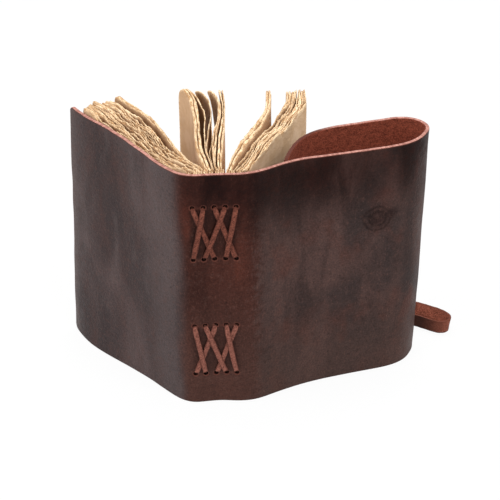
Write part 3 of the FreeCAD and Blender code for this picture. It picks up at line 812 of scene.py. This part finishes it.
def lace_strip(start, end, layer, seed):
    """A stitch on the outside, from one hole to another, diving in at both."""
    length = math.hypot(end[0] - start[0], end[1] - start[1])
    u = np.r_[np.linspace(LACE_ENTRY, 3.1, 12), np.linspace(3.8, length - 3.8, 26),
              np.linspace(length - 3.1, length - LACE_ENTRY, 12)]
    place = np.outer(1 - u / length, start) + np.outer(u / length, end)
    rise = 0.15 + LACE_THICK / 2
    near = np.minimum(u, length - u) - LACE_ENTRY
    dive = np.clip(1 - near / 1.5, 0, 1)
    over = layer * LACE_THICK * 0.85 * np.clip((near - 2.0) / 6.0, 0, 1)
    depth = -(rise + over) + 0.12 * wave(u, seed, 6.0) + 3.4 * dive ** 1.7
    line = sheet_point(place[:, 0], place[:, 1], depth)
    direction = unit(np.gradient(line, axis=0))
    flat = sheet_point(place[:, 0], place[:, 1], 0.0)
    beside = sheet_point(place[:, 0] + 0.5, place[:, 1], 0.0)
    out = unit(np.cross(beside - flat, np.array([0.0, 0.0, 1.0])))
    across = unit(np.cross(direction, out))
    across = np.where(abs(np.sum(direction * out, axis=1, keepdims=True)) > 0.97,
                      np.roll(across, 1, axis=0), across)
    width = LACE_WIDTH * (1 - 0.34 * np.clip(1 - near / 2.0, 0, 1)) + 0.22 * wave(u, seed + 3, 3.0)
    return strip_mesh(line, across, np.cross(direction, across), width, LACE_THICK, seed, 0.10)


def lace_piece(name, node, rows, seed, material):
    """All of one lace: its crossed stitches, and its runs inside the folds."""
    parts, necks = [], []
    for k, (outer_column, inner_column, layer) in enumerate(STITCHES):
        parts.append(lace_strip((COLUMN_S[outer_column], rows[0]), (COLUMN_S[inner_column], rows[1]),
                                layer, seed + 10 * k))
    for k, s in enumerate(COLUMN_S):
        z = np.linspace(rows[0], rows[1], 14)
        line = np.column_stack([np.full(14, HOLE_X[k]), np.full(14, FOLD_Y), z])
        ones = np.ones((14, 1))
        parts.append(strip_mesh(line, ones * [1.0, 0, 0], ones * [0, 1.0, 0],
                                RUN_WIDTH, RUN_THICK, seed + 90 + k, 0.05))
        for z_hole in rows:
            neck = np.linspace(sheet_point(s, z_hole, LEATHER - 0.9), (HOLE_X[k], FOLD_Y, z_hole), 5)
            ones = np.ones((5, 1))
            necks.append(strip_mesh(neck, ones * [1.0, 0, 0], ones * [0, 0, 1.0],
                                    NECK_SIZE, NECK_SIZE, seed + 70))
    verts, faces, st = join_parts(parts + necks)
    # The necks, where the lace passes through the holes, take the holes' near-black colour: painted shade.
    dark = sum(len(neck[1]) for neck in necks)
    kinds = [0] * (len(faces) - dark) + [1] * dark
    piece = new_mesh(name, verts, faces, [material, HOLE_SHADE], kinds, {"st": st})
    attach(piece, "spine")
    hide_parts(node)


lace_piece("lace_upper_visual", "upper_lace", UPPER_ROWS, 300, LACE_DARK)
lace_piece("lace_lower_visual", "lower_lace", LOWER_ROWS, 500, LACE)

# --- pages ------------------------------------------------------------------------
LEAF_COLUMNS = 200
THINNEST_LEAF = 0.32
LEAF_ROWS = (0.0, 0.5, 5.0, 50.0, 105.0, 145.0, 161.0, 168.5, 172.0, 173.6, 174.5, 175.0)


def leaf_mesh(line, thick, seed, top=0.0, corner=3.0, rag=1.0, face_wave=0.8, shade=(0.0, 0.0),
              crumple=1.0, shared=0, fluff=0.15, flare=0.0, lean=0.0):
    """One leaf of deckle-edge paper standing on its lower edge along a plan line."""
    count = len(line)
    direction = unit(np.gradient(line, axis=0))
    side = np.column_stack([-direction[:, 1], direction[:, 0]])
    along = distances(line)
    length = along[-1]
    from_end = length - along
    z = np.array(LEAF_ROWS)
    grid_along, grid_z = np.meshgrid(along, z, indexing="ij")
    below = PAGE_TOP - z
    near_top = np.exp(-below / 4.0)
    # The torn upper edge: long dips, short teeth and fibres.
    torn = -abs(wave(along, seed, 15.0)) * 1.7 - abs(wave(along, seed + 1, 6.0)) * 0.8
    calm = 1 - 0.75 * np.clip((along / length - 0.84) / 0.1, 0, 1)
    torn = rag * (torn - abs(wave(along, seed + 2, 1.3)) * 0.5) * calm + top + 1.1
    back = np.clip(corner - from_end, 0, corner)
    round_off = corner - np.sqrt(np.maximum(corner ** 2 - back ** 2, 0))
    fall = np.exp(-below / (5.0 + corner))
    # Sideways: the whole leaf waves gently, and its rim crumples.
    root = np.clip(along / 25.0, 0, 1)
    sway = face_wave * root[:, None] * ripple(grid_along, grid_z, seed + 4, 42.0)
    folds = crumple * calm * (0.12 * wave(along, seed + 5, 3.0) + 0.4 * wave(along, seed + 6, 9.0))
    if shared:
        folds = folds + 1.2 * wave(along, shared, 13.0)
    offset = sway + np.outer((folds * rag + flare) * root, near_top)
    tip_share = np.clip((along / length - 0.8) / 0.2, 0, 1) ** 1.5
    offset = offset + lean * np.outer(tip_share, np.exp(-below / 14.0))
    ragged = rag * (1.2 * wave(z, seed + 7, 9.0) + 0.6 * wave(z, seed + 8, 2.5))
    stretch = np.clip(1 - from_end / 8.0, 0, 1)[:, None] * ragged
    height = z + np.outer(torn, near_top) - np.outer(round_off, fall)
    low_round = np.outer(np.clip(corner - from_end, 0, corner) * 0.5, np.exp(-z / 5.0))
    height = np.maximum(height + low_round, 0.0)
    tip = 0.7 + 0.3 * np.clip(from_end / 1.6, 0, 1)
    rim_half = np.where(z > 174.9, 0.45, np.where(z > 174.2, 0.8, np.where(z < 0.3, 0.6, 1.0)))
    half = 0.5 * np.broadcast_to(thick, count)[:, None] * tip[:, None] * rim_half
    half = half * (1 + 0.3 * rag * near_top * wave(along, seed + 9, 2.6)[:, None])
    half = half + fluff * np.outer(root * (0.7 + 0.5 * wave(along, seed + 10, 4.0)),
                                   np.exp(-below / 2.2) * rim_half)
    verts = []
    for sign in (1, -1):
        xy = (line[:, None, :] + side[:, None, :] * (offset + sign * half)[..., None]
              + direction[:, None, :] * stretch[..., None])
        verts.append(np.concatenate([xy, height[..., None]], axis=-1))
    left, right = verts
    rows = len(z)
    ids = np.arange(count * rows).reshape(count, rows)
    other = ids + count * rows
    faces = []
    for i in range(count - 1):
        for j in range(rows - 1):
            faces.append((ids[i, j], ids[i, j + 1], ids[i + 1, j + 1], ids[i + 1, j]))
            faces.append((other[i, j], other[i + 1, j], other[i + 1, j + 1], other[i, j + 1]))
        faces.append((ids[i, -1], other[i, -1], other[i + 1, -1], ids[i + 1, -1]))
        faces.append((ids[i, 0], ids[i + 1, 0], other[i + 1, 0], other[i, 0]))
    for j in range(rows - 1):
        faces.append((ids[0, j], other[0, j], other[0, j + 1], ids[0, j + 1]))
        faces.append((ids[-1, j], ids[-1, j + 1], other[-1, j + 1], other[-1, j]))
    points = np.vstack([left.reshape(-1, 3), right.reshape(-1, 3)])
    edge = np.minimum(below, from_end[:, None])
    # The rim mask: where the paler torn colour goes, partly a painted highlight on the lit tops.
    rim = np.exp(-edge / 1.3)
    tint = np.full_like(rim, 0.5 + 0.5 * float(wave(seed * 7.3, 99, 1.0)))
    # Painted shade: below the rim each face darkens, as far as shade says, where shade falls between leaves.
    depth = 1 - np.exp(-np.maximum(edge - 0.25, 0) / 0.6)
    facts = np.vstack([np.stack([rim, tint, depth * value], axis=-1).reshape(-1, 3) for value in shade])
    own = np.stack([grid_along, height, offset], axis=-1).reshape(-1, 3)
    own = np.vstack([own + [0, 0, 0.5], own - [0, 0, 0.5]])
    place = own * MM + np.array([seed % 17, seed % 13, seed % 7]) * 0.037
    return points, faces, place, facts


def page_piece(name, *groups):
    """One object made of several groups of leaves."""
    points, faces, st, facts = join_parts([leaf for group in groups for leaf in group])
    piece = new_mesh(name, points, faces, [PAPER], attributes={"st": st, "leaf": facts})
    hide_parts("text_block")
    return piece


def reach(line, extra):
    """The same line, made longer or shorter at its end, with evenly spaced points."""
    along = distances(line)
    tip = line[-1] + unit(line[-1] - line[-6]) * max(extra, 0.0)
    full = np.vstack([line, tip]) if extra > 0.05 else line
    along = np.r_[along, along[-1] + extra] if extra > 0.05 else along
    even = np.linspace(0, along[-1] + min(extra, 0.0), LEAF_COLUMNS)
    return np.column_stack([np.interp(even, along, full[:, k]) for k in (0, 1)])


def bundle(left, right, count, seed, gap=0.10, wide_gap=0.40, gaps=(), tips=2.0, bulge=0.0, drop=1.2,
           corner=1.6, face_wave=0.5, fluff=0.12, flare=0.0, outer=(0.0, 0.0), **options):
    """Leaves between the left and right face of a bundle, both given in plan.

    Neighbours lie close; after the leaves listed in gaps they stand apart. The faces
    between leaves get painted shade below their rims, the bundle's two outer faces as much
    painted shade as outer says. Other options go to every leaf as they are.
    """
    a, b = smooth_line(left, LEAF_COLUMNS), smooth_line(right, LEAF_COLUMNS)
    spread = np.linalg.norm(a - b, axis=1)
    u = np.linspace(0, LEAF_WIDTH, LEAF_COLUMNS)
    random = np.random.RandomState(seed)
    widths = random.uniform(0.65, 1.35, count) * [1.7 if k in gaps else 1.0 for k in range(count)]
    edges = np.r_[0, np.cumsum(widths)] / widths.sum()
    bounds = [edges[k] + (0.55 * wave(u, seed + 31 * k, 16.0) + 0.25 * wave(u, seed + 31 * k + 7, 6.0))
              * (0.42 / count if 0 < k < count else 0.0) for k in range(count + 1)]
    leaves = []
    for k in range(count):
        room = bounds[k + 1] - bounds[k]
        share = wide_gap if k in gaps else gap
        share = share * (1 + 0.9 * wave(u, seed + 53 * k, 22.0)) * (1 - np.clip(u / 22 - 4.0, 0, 1))
        share = np.clip(share, 0.03, 0.8)
        middle = bounds[k] + room * (1 - share) / 2
        line = a + (b - a) * middle[:, None]
        part = (k + 0.5) / count
        line = reach(line, tips * random.uniform(-1, 0.6) + bulge * math.sin(math.pi * part))
        thick = np.maximum(spread * room * (1 - share), THINNEST_LEAF)
        # Painted shade for the leaf's two faces: full between leaves, as outer says on the bundle's own
        # faces.
        shade = (outer[0] if k == 0 else 0.9, outer[1] if k == count - 1 else 0.9)
        leaves.append(leaf_mesh(line, thick, seed + 97 * k, top=1.1 + drop * random.uniform(-1, 0.6),
                                corner=corner * random.uniform(0.7, 1.3), fluff=fluff, shade=shade,
                                face_wave=face_wave / (1 + 0.4 * count), flare=flare * (1 - 2 * part),
                                **options))
    return leaves


# Plan lines from the fold to the fore-edge: of single leaves, and of bundles' faces.
STACK_NEAR = (
    (-17.5, 5.2), (-27.0, 10.6), (-40.2, 24.6), (-57.9, 48.0), (-72.9, 66.8), (-84.4, 81.6), (-89.4, 87.8),
)
STACK_FAR = (
    (-5.5, 6.2), (-12.5, 16.8), (-22.5, 27.2), (-29.3, 38.2), (-36.4, 54.8), (-42.6, 67.6), (-49.4, 79.6),
    (-57.4, 88.6), (-65.0, 98.0), (-72.8, 104.0),
)
LOOSE_LEFT = (
    (-7.2, 7.5), (-20.0, 24.2), (-25.2, 34.2), (-29.2, 44.2), (-37.0, 63.8), (-49.8, 85.6), (-63.6, 102.4),
    (-71.4, 112.0),
)
LOOSE_RIGHT = (
    (-5.8, 8.0), (-18.0, 24.6), (-23.4, 34.8), (-26.8, 44.0), (-34.8, 64.0), (-47.2, 85.2), (-60.4, 102.2),
    (-66.8, 112.0),
)
FIRST_LEFT = (
    (-5.0, 7.0), (-6.9, 12.3), (-9.3, 22.8), (-11.7, 33.5), (-12.7, 43.0), (-13.7, 56.9), (-14.7, 75.4),
    (-16.0, 87.0), (-17.4, 96.0), (-19.4, 108.0), (-22.2, 118.0), (-27.0, 126.6),
)
FIRST_RIGHT = (
    (-1.7, 7.0), (-3.4, 15.2), (-5.5, 24.4), (-7.7, 35.2), (-9.5, 49.9), (-10.5, 63.9), (-11.5, 84.1),
    (-12.6, 95.9), (-14.4, 106.4), (-17.0, 115.4), (-20.0, 121.6), (-25.0, 127.2),
)
SECOND = (
    (-1.2, 7.4), (-2.3, 18.0), (-4.5, 28.5), (-6.0, 37.9), (-6.9, 49.0), (-7.4, 70.1), (-7.7, 84.6),
    (-9.3, 95.0), (-12.9, 107.9), (-17.2, 117.1), (-20.9, 123.3),
)
THIRD = (
    (-0.6, 7.2), (-1.8, 15.2), (-4.3, 28.5), (-5.4, 42.0), (-4.9, 52.0), (-4.4, 63.9), (-3.3, 78.3),
    (-3.2, 90.0), (-4.5, 100.4), (-5.5, 111.0), (-6.6, 118.6), (-8.4, 122.8),
)
FOURTH = (
    (1.2, 7.1), (-0.4, 12.3), (-2.3, 22.8), (-3.6, 36.2), (-2.9, 45.8), (-2.7, 56.9), (-2.8, 71.1),
    (-3.2, 80.0),
)
FIFTH = (
    (1.8, 7.2), (0.6, 10.9), (-0.6, 20.1), (-1.8, 33.5), (-1.4, 45.8), (-1.0, 61.0), (0.2, 69.6),
    (0.7, 78.3), (0.8, 90.0), (0.7, 103.4), (0.6, 112.5), (-0.4, 119.5), (-1.6, 122.4),
)
FIFTH_RIGHT = (
    (3.0, 7.2), (1.2, 12.3), (0.7, 22.8), (1.0, 36.2), (1.1, 49.9), (1.6, 61.1), (2.4, 72.5), (3.4, 85.6),
    (3.3, 100.4), (2.6, 112.0), (1.4, 119.6),
)
LAST_LEFT = (
    (3.8, 7.3), (2.3, 12.3), (1.9, 22.8), (2.2, 36.2), (2.3, 49.9), (2.8, 61.1), (3.6, 72.5), (4.4, 85.6),
    (4.0, 100.4), (3.2, 110.0), (2.8, 121.5),
)
LAST_RIGHT = (
    (5.0, 7.4), (5.0, 10.9), (4.8, 22.8), (5.0, 36.2), (5.4, 49.9), (5.9, 63.9), (5.8, 82.0), (5.5, 100.4),
    (5.0, 121.0),
)
SIXTH_LEFT = (
    (8.2, 8.4), (11.2, 24.9), (17.2, 46.4), (21.7, 59.4), (28.2, 77.1), (32.6, 92.2), (34.0, 105.4),
    (35.2, 119.4),
)
SIXTH_RIGHT = (
    (10.9, 8.0), (14.4, 23.4), (20.5, 40.2), (26.8, 57.4), (33.2, 76.5), (36.2, 90.5), (37.6, 104.8),
    (38.0, 118.8),
)
SEVENTH_LEFT = (
    (12.1, 7.1), (14.5, 14.6), (19.9, 28.5), (24.9, 42.8), (31.9, 58.8), (40.0, 76.5), (46.6, 99.0),
    (48.2, 109.1), (47.4, 118.0),
)
SEVENTH_RIGHT = (
    (15.8, 7.4), (19.4, 17.1), (25.5, 40.2), (31.2, 53.4), (39.6, 66.9), (43.5, 76.5), (51.6, 91.9),
    (55.3, 120.6),
)
EIGHTH_LEFT = (
    (16.6, 7.4), (20.2, 17.1), (26.5, 40.0), (32.2, 53.2), (40.4, 66.6), (44.3, 76.2), (52.4, 91.7),
    (56.2, 121.6),
)
EIGHTH_RIGHT = (
    (23.2, 8.4), (25.5, 17.1), (30.4, 29.8), (38.0, 46.8), (45.8, 61.5), (54.5, 80.6), (60.8, 96.1),
    (61.4, 107.5), (60.2, 121.0),
)


def one_leaf(points, thick, seed, **options):
    """A single leaf along a plan line; thick is its thickness at root and tip."""
    line = smooth_line(points, LEAF_COLUMNS)
    return [leaf_mesh(line, np.linspace(thick[0], thick[1], LEAF_COLUMNS), seed, **options)]


left_pages = page_piece(
    "pages_left",
    bundle(STACK_NEAR, STACK_FAR, 17, 1000, gap=0.16, gaps=(2, 5, 7, 10, 12, 15), wide_gap=0.52, tips=1.4,
           bulge=7.0, drop=2.2, rag=1.6, shared=1777, fluff=0.08),
    bundle(LOOSE_LEFT, LOOSE_RIGHT, 2, 1900, gap=0.05, tips=0.5, drop=0.6, corner=3.0, rag=0.8,
           outer=(0.8, 0.35)))
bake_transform(left_pages)

middle_left = page_piece(
    "pages_middle_left",
    bundle(FIRST_LEFT, FIRST_RIGHT, 2, 2000, gap=0.02, tips=0.3, drop=0.3, corner=9.0, face_wave=0.3,
           fluff=0.3, flare=0.5, rag=0.6, outer=(0.12, 0.9)),
    one_leaf(SECOND, (0.5, 0.6), 2300, top=0.8, corner=2.0, fluff=0.3, rag=0.7, shade=(1.0, 0.6)))
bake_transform(middle_left)

middle_right = page_piece(
    "pages_middle_right",
    one_leaf(THIRD, (0.5, 0.7), 2400, top=1.0, corner=2.0, fluff=0.2, lean=7.2, rag=0.7, shade=(1.0, 0.6)),
    one_leaf(FOURTH, (0.4, 0.5), 2500, corner=2.0, top=-0.6, shade=(0.7, 0.4)),
    bundle(FIFTH, FIFTH_RIGHT, 2, 2550, gap=0.06, tips=0.8, fluff=0.15, lean=6.0, rag=0.7, outer=(0.9, 0.9)),
    bundle(LAST_LEFT, LAST_RIGHT, 2, 2600, gap=0.04, tips=0.3, drop=0.3, fluff=0.3, rag=0.7, flare=0.8,
           lean=1.6, outer=(1.0, 0.0)))
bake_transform(middle_right)

right_pages = page_piece(
    "pages_right",
    bundle(SIXTH_LEFT, SIXTH_RIGHT, 2, 3000, gap=0.06, tips=0.4, fluff=0.45, drop=0.5, rag=0.75, flare=0.4,
           lean=1.2, outer=(0.0, 0.45)),
    bundle(SEVENTH_LEFT, SEVENTH_RIGHT, 5, 3200, gap=0.14, gaps=(1, 3), wide_gap=0.5, tips=0.6, drop=0.8,
           crumple=0.8, shared=3777, fluff=0.14, outer=(0.0, 0.9)),
    bundle(EIGHTH_LEFT, EIGHTH_RIGHT, 6, 3500, gap=0.12, gaps=(2,), wide_gap=0.3, tips=0.6, drop=0.8,
           face_wave=0.3, crumple=0.8, shared=3777, fluff=0.14, outer=(0.9, 0.0)))
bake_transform(right_pages)


FOLD_RADII = (2.9, 2.0, 1.1)
FOLD_FRONT = 10.5


def fold_leaves():
    """The folded backs of the five signatures, as nested sheets against the spine."""
    leaves = []
    for k, x in enumerate(HOLE_X):
        back = sheet_point(spine_s(x), 90.0, LEATHER + 0.55)
        for nest, radius in enumerate(FOLD_RADII):
            y = back[1] + (FOLD_RADII[0] - radius)
            half = [(radius, FOLD_FRONT), (radius, y + radius + 1.2), (radius * 0.72, y + radius * 0.3)]
            bow = [(x - w, v) for w, v in half] + [(x, y)] + [(x + w, v) for w, v in half[::-1]]
            leaves.append(leaf_mesh(smooth_line(bow, 40), 0.7, 4000 + 50 * k + nest,
                                    top=-0.6, corner=0.5, rag=0.35, face_wave=0.0))
    return leaves


folds = page_piece("page_folds", fold_leaves())
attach(folds, "spine")

# --- floor, world and lamps ---------------------------------------------------------
FLOOR_HALF = 6.0
FLOOR_Z = -0.0004
FLOOR_COLOUR = (0.86, 0.86, 0.86)
FLOOR_GLOW = 0.92
SKY_LIGHT = 0.55


def seen_directly(tree):
    """1 where the camera, a reflection or a refraction looks at the surface."""
    rays = tree.nodes.new("ShaderNodeLightPath").outputs
    value = rays["Is Camera Ray"]
    for kind in ("Is Glossy Ray", "Is Transmission Ray"):
        value = put_node(tree, "ShaderNodeMath", {0: value, 1: rays[kind]}, operation="MAXIMUM")
    return value


def show_mixed(tree, output_kind, factor, first, second):
    """Show the first shader where factor is 0, and the second where it is 1."""
    mixed = put_node(tree, "ShaderNodeMixShader", {0: factor, 1: first, 2: second})
    tree.links.new(mixed, tree.nodes.new(output_kind).inputs[0])


def make_floor():
    """A pale floor, which looks white where it is seen directly."""
    data = bpy.data.meshes.new("floor")
    corners = [(x * FLOOR_HALF, y * FLOOR_HALF, FLOOR_Z) for x, y in ((-1, -1), (1, -1), (1, 1), (-1, 1))]
    data.from_pydata(corners, [], [(0, 1, 2, 3)])
    floor = show("floor", data)
    material = bpy.data.materials.new("floor_white")
    material.use_nodes = True
    tree = material.node_tree
    tree.nodes.clear()
    paint = put_node(tree, "ShaderNodeBsdfDiffuse", {"Color": FLOOR_COLOUR})
    glow = put_node(tree, "ShaderNodeEmission", {"Strength": 1.0})
    share = put_node(tree, "ShaderNodeMath", {0: seen_directly(tree), 1: FLOOR_GLOW}, operation="MULTIPLY")
    show_mixed(tree, "ShaderNodeOutputMaterial", share, paint, glow)
    data.materials.append(material)


def make_world():
    """Soft light from all sides, and plain white where it is seen directly."""
    world = bpy.data.worlds.new("studio")
    bpy.context.scene.world = world
    world.use_nodes = True
    tree = world.node_tree
    tree.nodes.clear()
    soft, white = (put_node(tree, "ShaderNodeBackground", {"Color": (1.0, 1.0, 1.0), "Strength": strength})
                   for strength in (SKY_LIGHT, 1.0))
    show_mixed(tree, "ShaderNodeOutputWorld", seen_directly(tree), soft, white)


make_floor()
make_world()


def lamp(name, place, aim, size, power):
    """A soft square lamp that points at a place."""
    data = bpy.data.lights.new(name, "AREA")
    data.shape = "SQUARE"
    data.size = size
    data.energy = power
    thing = show(name, data)
    thing.location = place
    offset = np.array(aim) - np.array(place)
    thing.rotation_euler = (math.atan2(math.hypot(offset[0], offset[1]), -offset[2]), 0,
                            math.atan2(offset[1], offset[0]) - math.pi / 2)


lamp("key", (-1.5, -0.6, 1.4), (0, 0.03, 0.08), 1.4, 24.5)
lamp("fill", (1.15, -1.1, 1.95), (0, 0.03, 0.08), 1.2, 30.5)
lamp("top", (0.1, 0.7, 1.8), (0, 0.05, 0.1), 1.2, 14.0)

bpy.context.scene.view_settings.view_transform = "Standard"
